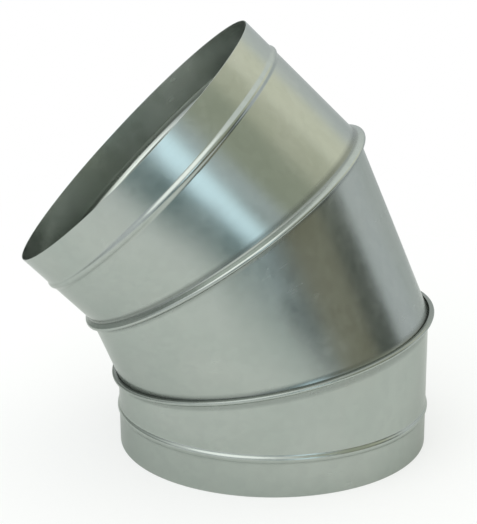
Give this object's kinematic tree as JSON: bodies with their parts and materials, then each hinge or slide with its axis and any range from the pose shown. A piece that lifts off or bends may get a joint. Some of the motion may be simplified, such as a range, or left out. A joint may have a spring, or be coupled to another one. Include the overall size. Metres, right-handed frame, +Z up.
{
  "type": "segmented duct elbow",
  "caption": "Segmented round duct elbow of galvanised sheet, turning 45 degrees, with folded lock seams, and spigot ends with stop beads.",
  "frame": {"origin": "centre of the lower rim, on the plane it stands on", "axes": "+Z up along the lower collar's axis; the elbow bends toward -X, so its upper opening faces up and toward -X; Y runs across the bend"},
  "size_m": [0.4102, 0.3258, 0.4214],
  "materials": {
    "galvanised_steel": "satin hot-dip zinc coat, lightly spangled, with fine rolling marks"
  },
  "bodies": {
    "root": {"lower_end_gore": "galvanised_steel", "middle_gore": "galvanised_steel", "upper_end_gore": "galvanised_steel"}
  },
  "joints": []
}
